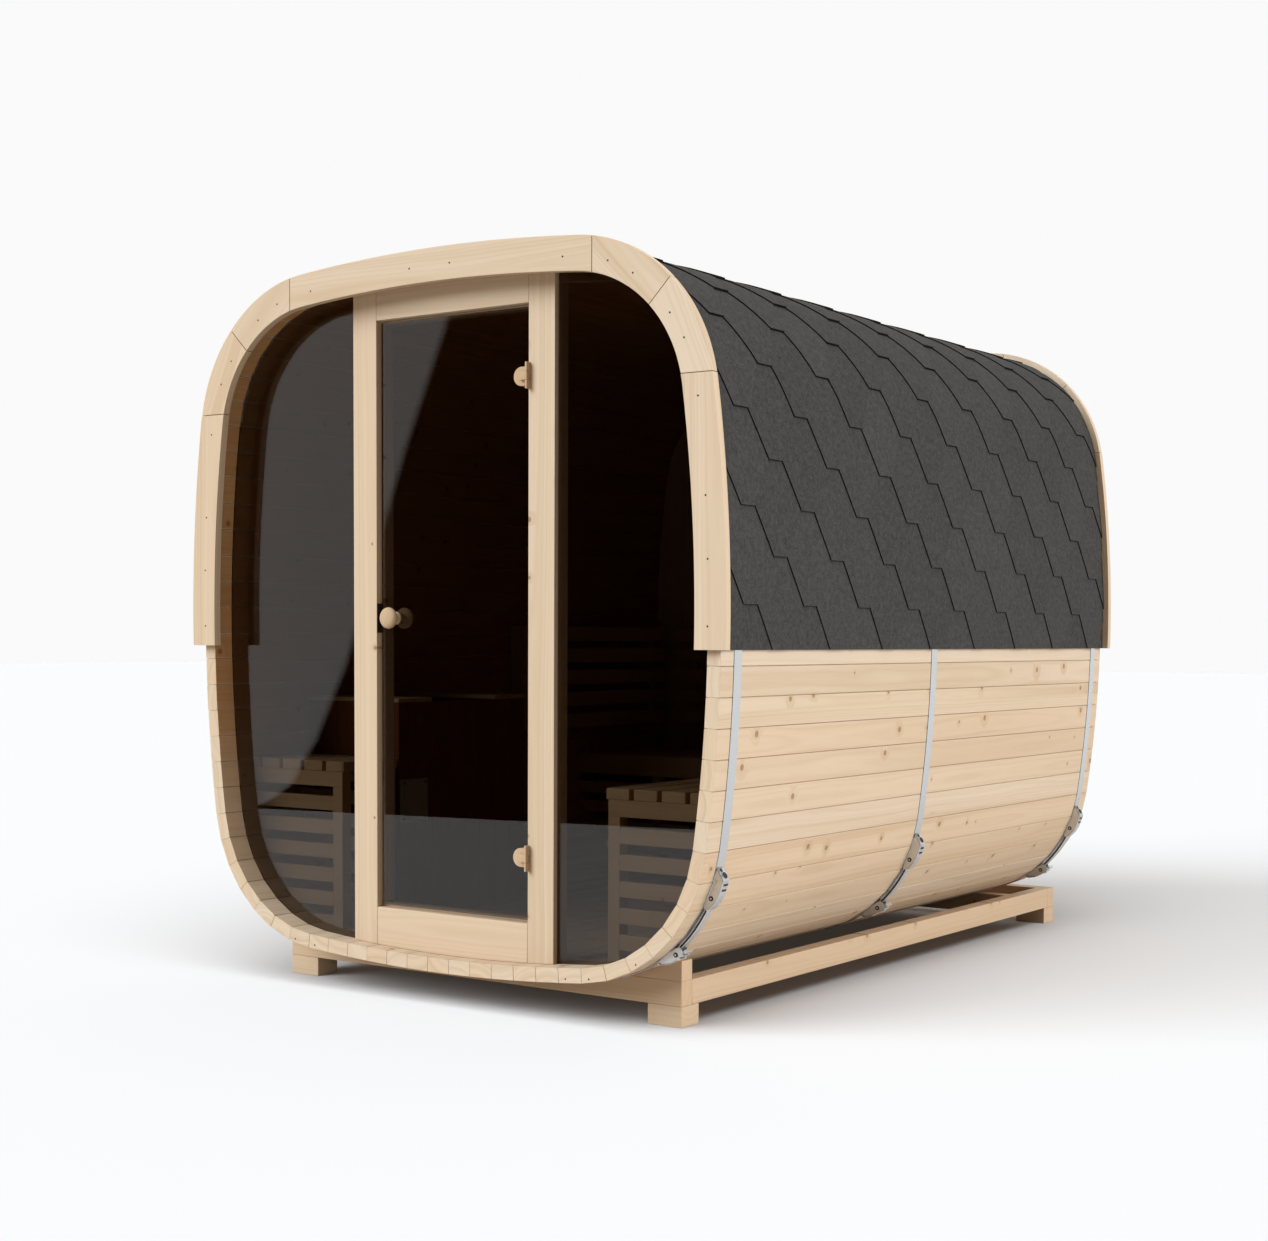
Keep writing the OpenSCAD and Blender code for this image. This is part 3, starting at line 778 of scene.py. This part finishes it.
for side, hand in ((-1, "left"), (1, "right")):
    post = Piece("frame_post_" + hand, "cabin", "spruce", "door_post_" + hand)
    timber(post, sided(side, OPEN_HALF, FRAME_HALF), (0, TALL), FRAME, Z, bevel=0.003)
    timber(post, sided(side, OPEN_HALF - STOP, OPEN_HALF), (SILL_Z, HEAD_Z), BEHIND, Z)
    if side < 0:
        middle = (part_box("door_knobs")[0].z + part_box("door_knobs")[1].z)/2
        low = (-OPEN_HALF, FRAME[0] + 0.001, middle - CATCH_HALF)
        high = (CATCH_T - OPEN_HALF, BEHIND[0], middle + CATCH_HALF)
        post.add(block(low, high), Z, bevel=0.0006, look=1)
    post.make(SPRUCE, CATCH)
for name, z, stop in (("sill", (0, SILL_Z), (SILL_Z, SILL_Z + STOP)),
                      ("head", (HEAD_Z, TALL), (HEAD_Z - STOP, HEAD_Z))):
    rail = Piece("frame_" + name, "cabin", "spruce", "door_" + name)
    timber(rail, (-OPEN_HALF, OPEN_HALF), z, FRAME, X, bevel=0.003)
    timber(rail, (STOP - OPEN_HALF, OPEN_HALF - STOP), stop, BEHIND, X)
    rail.make(SPRUCE)

wall = Piece("back_wall_boards", "cabin", "spruce", "back_wall")
WALL = (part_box("back_wall")[0].y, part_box("back_wall")[1].y)
WALL_BOARD = 0.120
WALL_HALF = math.ceil(SHELL_W/2/WALL_BOARD)
for k in range(-WALL_HALF, WALL_HALF):
    timber(wall, (k*WALL_BOARD, (k + 1)*WALL_BOARD), (0, TALL), WALL, Z, bevel=0.003)
wall.make(SPRUCE)


# Steel bands and their tensioners

BAND_W = 0.040
BAND_T = 0.002
BAND_GAP = 0.00005
LUG_W = 0.034
CHEEK_T = 0.003

# Outlines of the tensioner's plates: degrees below level, and millimetres out from the staves
UPPER_CHEEK = ((13.8, 2.2), (13.8, 4), (16.9, 30), (22, 30.5), (25, 27), (27.4, 20), (28.6, 12), (28.8, 2.2))
LOWER_CHEEK = ((47.6, 2.2), (45.7, 10), (46, 31), (48.6, 33), (53, 26), (56, 14), (56.8, 2.2))
HOUSING_NOSE = ((22.3, 27.8), (22.3, 30.8), (25.2, 27.4), (27.7, 20.4), (29, 12.5), (28.8, 9.5), (26.8, 19),
                (24.7, 25))
CATCH_TAIL = ((49, 30), (49, 33), (53.2, 26.2), (56.2, 14), (57, 3), (56.2, 3), (55.3, 13), (52.5, 24))
SOCKETS_LOW = (13.8, 4)
SOCKETS_HIGH = (16.9, 30)


def below_level(angle, out):
    """Point (x, z) by the low right corner: degrees below level, and millimetres out from the staves."""
    turn = math.radians(angle)
    radius = CORNER_R + out/1000
    return (CORNER_X + radius*math.cos(turn), MID_Z - CORNER_Z - radius*math.sin(turn))


def plate(piece, shape, y0, y1, side, look=0):
    """A steel part drawn by the low corner and drawn out along the cabin."""
    section = [(side*x, z) for x, z in (below_level(*p) for p in shape)]
    piece.add(prism(section, y0, y1), bevel=0.0008, look=look)


def arc_strip(low, high, start, end, steps=6):
    """Outline of a curved strip between two distances from the staves."""
    turns = [start + (end - start)*k/steps for k in range(steps + 1)]
    return [(t, low) for t in turns] + [(t, high) for t in turns[::-1]]


def bolt(piece, side, angle, out, y, reach):
    """A bolt through both cheeks: a dark washer with a bright end standing out of it."""
    x, z = below_level(angle, out)
    for radius, proud, bevel, look in ((0.0075, 0.0010, 0.0004, 2), (0.0030, 0.0026, 0.0006, 0)):
        ring = ring_at(side*x, z, radius)
        piece.add(prism(ring, y - reach - proud, y + reach + proud), bevel=bevel, look=look)


def sockets(piece, side, y, half):
    """The housing's sloping end: a plate with a small and a large round socket, each with its mouth painted
    dark as shade.
    """
    ends = (below_level(*SOCKETS_LOW), below_level(*SOCKETS_HIGH))
    low, high = (Vector((side*x, 0, z)) for x, z in ends)
    slope = (high - low).normalized()
    out = Vector((-slope.z, 0, slope.x))*side
    corners = [low, high, high - CHEEK_T*out, low - CHEEK_T*out]
    piece.add(prism([(v.x, v.z) for v in corners], y - half, y + half), bevel=0.0006)
    for share, radius, shift in ((0.15, 0.0070, -0.006), (0.60, 0.0120, 0.001)):
        for part, height, look in ((1, 0.0014, 0), (0.84, 0.0018, 2)):
            tube = bmesh.new()
            bmesh.ops.create_cone(tube, cap_ends=True, segments=24, radius1=part*radius, radius2=part*radius,
                                  depth=height)
            place = low.lerp(high, share) + out*height/2 + Y*(y + shift)
            tube.transform(Matrix.Translation(place) @ out.to_track_quat("Z", "Y").to_matrix().to_4x4())
            piece.add(tube, bevel=0.0003, look=look)


def tensioner(piece, side, y):
    """An upper housing with louvres and two sockets, a double strap, and a lower catch with three fins."""
    half = LUG_W/2
    for edge in (-1, 1):
        inner, outer = sorted((y + edge*half, y + edge*(half - CHEEK_T)))
        plate(piece, UPPER_CHEEK, inner, outer, side)
        plate(piece, LOWER_CHEEK, inner, outer, side)
    plate(piece, arc_strip(27.8, 30.8, 16.9, 22.4), y - half, y + half, side)
    plate(piece, HOUSING_NOSE, y - half, y + half, side)
    for start in (18.0, 19.9):
        # A strip of painted shade in the slot under each louvre
        dark = arc_strip(30.6, 31.0, start, start + 0.9, 2)
        plate(piece, dark, y - half + 0.007, y + half - 0.004, side, look=2)
        louvre = arc_strip(30.6, 32.4, start - 0.5, start, 2)
        plate(piece, louvre, y - half + 0.006, y + half - 0.003, side)
    sockets(piece, side, y, half)
    for low, high in ((5.0, 6.8), (12.6, 15.0)):
        plate(piece, arc_strip(low, high, 26, 48), y - half + 0.004, y + half - 0.004, side)
    plate(piece, arc_strip(7.6, 11.6, 27, 48), y - 0.006, y + 0.006, side, look=1)
    for k in range(3):
        fin = arc_strip(26, 36, 44.7 + 1.7*k, 45.6 + 1.7*k, 2)
        plate(piece, fin, y - half - 0.001, y + half + 0.001, side)
    plate(piece, CATCH_TAIL, y - half, y + half, side)
    bolt(piece, side, 24.3, 11, y, half)
    bolt(piece, side, 48.8, 18, y, half)


def hoop(y):
    """A flat band round the staves. Its edge faces are painted dark, as the shadow line where the band
    stands off the staves.
    """
    ring = bmesh.new()
    y0, y1 = y - BAND_W/2, y + BAND_W/2
    stations = []
    for inner, outer in zip(outline(BAND_GAP), outline(BAND_T)):
        corners = ((inner, y0), (outer, y0), (outer, y1), (inner, y1))
        stations.append([ring.verts.new((p[0], yy, p[1])) for p, yy in corners])
    for a, b in zip(stations, stations[1:] + stations[:1]):
        for k in range(4):
            n = (k + 1) % 4
            # Edge faces take the dark look: a painted shadow line
            ring.faces.new((a[k], a[n], b[n], b[k])).material_index = 0 if k % 2 else 2
    bmesh.ops.recalc_face_normals(ring, faces=ring.faces)
    return ring


for node in ("front_band", "middle_band", "back_band"):
    low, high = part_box(node)
    y = (low.y + high.y)/2
    band = Piece(node + "_steel", "cabin", "band_steel", node)
    band.add(hoop(y), bevel=0.0004)
    for side in (-1, 1):
        tensioner(band, side, y)
    band.make(STEEL, DARK_STEEL, DARK_WASHER_AND_PAINTED_SHADE)


# Cradle

for node, along in (("cradle_beams", X), ("cradle_rails", Y), ("cradle_feet", X), ("cradle_chocks", X)):
    base = Piece(node + "_timber", "cabin", "cradle_spruce", node)
    carried(base, node, along)
    base.make(CRADLE_WOOD)


# Benches: boards on cross rails, with posts, slatted ends and backrests

AISLE = 0.529
BOARD_W = 0.083
BOARD_GAP = 0.016
BOARD_T = 0.034
SLAT_H = 0.047
SLAT_STEP = 0.079
SLATS = 6
SLAT_T = 0.020
POST = 0.042
RAIL_H = 0.050
WIDE = 2.0


def slats_down(piece, x, y, top):
    """Level slats under a bench, one below the other, with gaps between them."""
    for k in range(1, SLATS + 1):
        z = top - k*SLAT_STEP
        timber(piece, x, (z, z + SLAT_H), (y, y + SLAT_T), X, bevel=0.002)


def side_bench(node, side):
    low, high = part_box(node)
    under = high.z - BOARD_T
    bench = Piece(node + "_boards", "cabin", "bench_spruce", node)
    x = AISLE
    while x < SHELL_W/2:
        timber(bench, sided(side, x, x + BOARD_W), (under, high.z), (low.y, high.y), bevel=0.004)
        x += BOARD_W + BOARD_GAP
    post_x = AISLE + 0.008
    for y in (low.y, high.y - POST):
        timber(bench, sided(side, post_x, WIDE), (under - RAIL_H, under), (y, y + POST), X)
        timber(bench, sided(side, post_x, post_x + POST), (0, under - RAIL_H), (y, y + POST), Z)
        slats_down(bench, sided(side, post_x + POST, WIDE), y, under - RAIL_H)
    bench.make(BENCH_WOOD)


side_bench("right_bench", 1)
side_bench("left_bench", -1)

back = Piece("back_bench_boards", "cabin", "bench_spruce", "back_bench")
low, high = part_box("back_bench")
under = high.z - BOARD_T
front = low.y
y = front + SLAT_T
while y < WALL[0] - BOARD_W/2:
    timber(back, (-WIDE, WIDE), (under, high.z), (y, min(y + BOARD_W, WALL[0] - FIT)), X, bevel=0.004)
    y += BOARD_W + BOARD_GAP
timber(back, (-WIDE, WIDE), (high.z - BOARD_W, high.z), (front, front + SLAT_T), X)
slats_down(back, (-WIDE, WIDE), front, high.z - BOARD_W)
for x in (-AISLE - POST, -POST/2, AISLE):
    timber(back, (x, x + POST), (0, under - RAIL_H), (front + SLAT_T, front + SLAT_T + POST), Z)
    timber(back, (x, x + POST), (under - RAIL_H, under), (front + SLAT_T, WALL[0] - FIT), Y)
back.make(BENCH_WOOD)

rests = Piece("backrest_slats", "cabin", "bench_spruce", "backrests")
REST_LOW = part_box("backrests")[0].z
REST_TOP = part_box("backrests")[1].z
REST_X = SHELL_W/2 - STAVE_T - 0.062
REST_H = 0.059
REST_STEP = 0.089
REST_SLATS = 5
REST_BACK = REST_X - 0.060
rest_y = WALL[0] - FIT - SLAT_T - POST/2
for k in range(REST_SLATS):
    z = (REST_LOW + k*REST_STEP, REST_LOW + k*REST_STEP + REST_H)
    timber(rests, (-REST_X, -REST_X + SLAT_T), z, (WALL[0] - 1.060, rest_y - 0.015), Y, bevel=0.0025)
    timber(rests, (-REST_BACK, REST_BACK), z, (rest_y, rest_y + SLAT_T), X, bevel=0.0025)
for y in (WALL[0] - 1.030, WALL[0] - 0.150):
    timber(rests, (-WIDE, -REST_X), (REST_LOW, REST_TOP), (y, y + POST), Z)
for x in (0.120 - REST_X, -POST/2, REST_X - 0.120 - POST):
    timber(rests, (x, x + POST), (REST_LOW, REST_TOP), (rest_y + SLAT_T, WALL[0] - FIT), Z)
rests.make(BENCH_WOOD)


# Boarded guard round the heater's place, and the grey control box on it

guard = Piece("heater_guard_boards", "cabin", "guard_wood", "heater_guard")
low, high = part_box("heater_guard")
GUARD_T = 0.020
GUARD_BOARDS = 8
END_BOARDS = 5
END_BOARD = 0.088
CAP_T = 0.014
face_x = (high.x - GUARD_T, high.x)
cap_z = (high.z - CAP_T, high.z)
cap_length = (high.y - low.y)/4
step = (high.y - low.y)/GUARD_BOARDS
for k in range(GUARD_BOARDS):
    timber(guard, face_x, (0, cap_z[0]), (low.y + k*step, low.y + (k + 1)*step), Z, bevel=0.003)
for y in (low.y, high.y - GUARD_T):
    for k in range(END_BOARDS):
        x = face_x[0] - (k + 1)*END_BOARD
        timber(guard, (x, x + END_BOARD), (0, cap_z[0]), (y, y + GUARD_T), Z, bevel=0.003)
for y in (low.y, high.y - cap_length):
    timber(guard, (-WIDE, face_x[1]), cap_z, (y, y + cap_length), X, bevel=0.003, look=1)
guard.make(GUARD_WOOD, BENCH_WOOD)

case = Piece("control_box_case", "cabin", "box_metal", "control_box")
low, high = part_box("control_box")
LID = 0.004
RIM = 0.002
SCREW_IN = 0.014
SCREW_H = 0.0016
case.add(block(low, (high.x - LID, high.y, high.z)), Z, bevel=0.003, steps=3)
lid_low = (high.x - LID, low.y + RIM, low.z + RIM)
lid_high = (high.x - 0.001, high.y - RIM, high.z - RIM)
case.add(block(lid_low, lid_high), Z, bevel=0.0014)
for y in (low.y + SCREW_IN, high.y - SCREW_IN):
    for z in (low.z + SCREW_IN, high.z - SCREW_IN):
        screw = bmesh.new()
        place = Matrix.Translation((high.x - SCREW_H/2, y, z)) @ Matrix.Rotation(math.pi/2, 4, "Y")
        bmesh.ops.create_cone(screw, cap_ends=True, segments=16, radius1=0.0045, radius2=0.0038,
                              depth=SCREW_H, matrix=place)
        case.add(screw, Z, bevel=0, look=1)
case.make(BOX_PAINT, DARK_STEEL)


# Glass, hinges and knobs

for node in ("left_pane", "right_pane", "door_glass"):
    nodes[node].data.materials.clear()
    nodes[node].data.materials.append(TINTED)

AXIS_Y = FRAME[0] - 0.012
BAR = (0.3045, 0.3115)
BAR_FRONT = AXIS_Y - 0.0075
BARREL_H = 0.078
KNUCKLE = BARREL_H/3
KNUCKLE_GAP = 0.0004
PAD_STEPS = 24
PAD_R = 0.0285
PAD_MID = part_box("door_hinges")[0].x + PAD_R
HINGE_ZS = (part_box("frame_hinges")[0].z + BARREL_H/2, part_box("frame_hinges")[1].z - BARREL_H/2)


def pad(piece, z, right, y0, y1):
    """A pad of the hinge on the glass: half round on the left, straight towards the post."""
    ring = [(right, z - PAD_R)]
    for k in range(PAD_STEPS + 1):
        turn = math.pi*(1.5 - k/PAD_STEPS)
        ring.append((PAD_MID + PAD_R*math.cos(turn), z + PAD_R*math.sin(turn)))
    ring.append((right, z + PAD_R))
    piece.add(prism(ring, y0, y1), Z, bevel=0.003, steps=5)


frame_side = Piece("frame_hinge_bars", "cabin", "hinge_wood", "frame_hinges")
door_side = Piece("door_hinge_pads", "door", "hinge_wood", "door_hinges")
for z in HINGE_ZS:
    for end in (-1, 1):
        z0, z1 = sorted((z + end*(KNUCKLE/2 + KNUCKLE_GAP), z + end*BARREL_H/2))
        arm = block((BAR[0], BAR_FRONT, z0), (BAR[1], FRAME[0], z1))
        frame_side.add(arm, Z, bevel=0.0016, steps=4)
    half = KNUCKLE/2 - KNUCKLE_GAP
    knuckle = block((BAR[0], BAR_FRONT, z - half), (BAR[1], AXIS_Y + 0.0065, z + half))
    door_side.add(knuckle, Z, bevel=0.0016, steps=4)
    neck = block((PAD_MID, AXIS_Y - 0.001, z - half), (BAR[0] + 0.001, AXIS_Y + 0.0115, z + half))
    door_side.add(neck, Z)
    pad(door_side, z, BAR[0] - 0.0022, GLASS[0] - 0.018, GLASS[0])
    pad(door_side, z, OPEN_HALF - STOP - 0.0057, GLASS[1], GLASS[1] + 0.008)
frame_side.make(HINGE_WOOD)
door_side.make(HINGE_WOOD, smooth=22)


TURNED_SIDES = 48


def turned(piece, profile, at, toward):
    """A turned part: a profile of (radius, distance) drawn round an axis along the cabin."""
    mesh = bmesh.new()
    rings = []
    for radius, distance in profile:
        y = at.y + toward*distance
        if radius == 0:
            rings.append([mesh.verts.new((at.x, y, at.z))])
        else:
            ring = ring_at(at.x, at.z, radius, TURNED_SIDES)
            rings.append([mesh.verts.new((x, y, z)) for x, z in ring])
    for a, b in zip(rings, rings[1:]):
        for k in range(TURNED_SIDES):
            n = (k + 1) % TURNED_SIDES
            corners = [a[k % len(a)], a[n % len(a)], b[n % len(b)], b[k % len(b)]]
            mesh.faces.new(list(dict.fromkeys(corners)))
    bmesh.ops.recalc_face_normals(mesh, faces=mesh.faces)
    piece.add(mesh, Y, bevel=0)


low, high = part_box("door_knobs")
KNOB_R = (high.x - low.x)/2
NECK_R = 0.0135
BALL_AT = 0.035
BALL_HALF = 0.016
BALL_STEPS = 12
knob_profile = [(0, 0), (0.0200, 0), (0.0200, 0.003), (0.0160, 0.006), (NECK_R, 0.010), (NECK_R, 0.016),
                (0.0160, 0.0205)]
for k in range(BALL_STEPS + 1):
    turn = math.pi*(k/BALL_STEPS - 0.5) if k else -math.pi/2 + 0.6
    radius = KNOB_R*math.cos(turn)**0.8 if k < BALL_STEPS else 0
    knob_profile.append((radius, BALL_AT + BALL_HALF*math.sin(turn)))
knobs = Piece("door_knob_pair", "door", "hinge_wood", "door_knobs")
for y, toward in ((GLASS[0], -1), (GLASS[1], 1)):
    turned(knobs, knob_profile, Vector(((low.x + high.x)/2, y, (low.z + high.z)/2)), toward)
knobs.make(HINGE_WOOD, smooth=40)


# Camera

camera_data = bpy.data.cameras.new("camera")
camera_data.lens = 55.158
camera_data.sensor_width = 36
camera_data.shift_y = 0.0986
camera_data.clip_end = 200
camera = bpy.data.objects.new("camera", camera_data)
bpy.context.scene.collection.objects.link(camera)
heading, pitch, roll = math.radians(35.22), math.radians(-3.192), math.radians(0.286)
forward = Vector((-math.sin(heading)*math.cos(pitch), math.cos(heading)*math.cos(pitch), math.sin(pitch)))
level = Vector((math.cos(heading), math.sin(heading), 0))
upward = level.cross(forward)
right = math.cos(roll)*level + math.sin(roll)*upward
up = math.cos(roll)*upward - math.sin(roll)*level
turn = Matrix((right, up, -forward)).transposed().to_4x4()
camera.matrix_world = Matrix.Translation((3.894, -5.894, 1.134)) @ turn
bpy.context.scene.camera = camera


# Light: a pale backdrop, a dim room, a soft key from the front left, a soft fill from the right and
# behind that skips the floor, and a lamp for the floor alone

world = bpy.data.worlds.new("room")
bpy.context.scene.world = world
world.use_nodes = True
sky = Nodes(world.node_tree)
height = sky.node("SeparateXYZ", sky.node("TexCoord").outputs["Generated"]).outputs["Z"]
rise = sky.node("Math", sky.math("MAXIMUM", height, 0), 2, operation="POWER", use_clamp=True).outputs[0]
room = sky.mix(rise, (0.055, 0.038, 0.024, 1), (0.61, 0.57, 0.53, 1))
backdrop = sky.mix(sky.seen(), room, (0.955, 0.955, 0.955, 1))
sky.put(sky.tree.nodes["Background"].inputs["Color"], backdrop)


def sun(name, strength, tint, spread_angle, toward):
    """A sun that reflections and glass do not show."""
    lamp = bpy.data.lights.new(name, "SUN")
    lamp.energy = strength
    lamp.color = tint
    lamp.angle = math.radians(spread_angle)
    placed = bpy.data.objects.new(name, lamp)
    placed.rotation_euler = Vector(toward).to_track_quat("-Z", "Y").to_euler()
    placed.visible_glossy = False
    placed.visible_transmission = False
    bpy.context.scene.collection.objects.link(placed)
    return placed


sun("key", 2.6, (0.97, 1.04, 1.11), 40, (0.45, 0.75, -0.49))
fill = sun("fill", 2.4, (1.0, 1.02, 1.06), 50, (-0.90, -0.28, -0.32))
floor_lamp = sun("floor_lamp", 3.3, (0.97, 1.0, 1.03), 60, (-0.35, 0.55, -1))


SOFT_EDGE = 0.03


def card(name, start, toward, rows, far):
    """A dark upright screen that only reflections and glass show. rows are (height, left edge), and
    the left edge is soft."""
    made = bmesh.new()
    fade = made.verts.layers.float.new("fade")
    across = Vector(toward).normalized()
    lines = []
    for height, left in rows:
        line = []
        for along, dark in ((left - SOFT_EDGE, 0), (left + SOFT_EDGE, 1), (far, 1)):
            v = made.verts.new(Vector(start) + across*along + Z*height)
            v[fade] = dark
            line.append(v)
        lines.append(line)
    for a, b in zip(lines, lines[1:]):
        for k in (0, 1):
            made.faces.new((a[k], a[k + 1], b[k + 1], b[k]))
    mesh = bpy.data.meshes.new(name)
    made.to_mesh(mesh)
    made.free()
    placed = bpy.data.objects.new(name, mesh)
    bpy.context.scene.collection.objects.link(placed)
    for rays in ("camera", "diffuse", "shadow"):
        setattr(placed, "visible_" + rays, False)
    look = Look(name, Base_Color=(0, 0, 0, 1), Roughness=1.0, Specular_IOR_Level=0.0)
    look.set("Alpha", look.attribute("fade", "Fac"))
    mesh.materials.append(look.material)


LEFT_EDGE = ((0, -0.16), (0.04, -0.05), (0.08, 0.035), (0.18, 0.17), (0.33, 0.26), (0.46, 0.35),
             (0.59, 0.41), (0.72, 0.47), (0.95, 0.58), (1.65, 0.80), (2.30, 1.02), (3.02, 1.30),
             (3.63, 1.49), (8.0, 3.1))
card("dark_screen", (-5.35, -5.76, 0), (2.85, -0.55, 0), LEFT_EDGE, 14)

FLOOR = 60
floor_mesh = bpy.data.meshes.new("floor")
floor_corners = [(-FLOOR, -FLOOR, 0), (FLOOR, -FLOOR, 0), (FLOOR, FLOOR, 0), (-FLOOR, FLOOR, 0)]
floor_mesh.from_pydata(floor_corners, [], [(0, 1, 2, 3)])
floor = bpy.data.objects.new("floor", floor_mesh)
bpy.context.scene.collection.objects.link(floor)
floor_look = Look("floor", Roughness=1.0, Specular_IOR_Level=0.0)
floor_seen = floor_look.seen()
floor_look.set("Base Color", floor_look.mix(floor_seen, (0.31, 0.275, 0.24, 1), (0.593, 0.593, 0.593, 1)))
floor_look.set("Emission Color", (0.030, 0.024, 0.020, 1))
floor_look.set("Emission Strength", floor_seen)
floor_mesh.materials.append(floor_look.material)
for lamp, state in ((fill, "EXCLUDE"), (floor_lamp, "INCLUDE")):
    linked = bpy.data.collections.new(lamp.name + "_floor")
    linked.objects.link(floor)
    linked.collection_objects[0].light_linking.link_state = state
    lamp.light_linking.receiver_collection = linked

bpy.context.scene.view_settings.view_transform = "Standard"
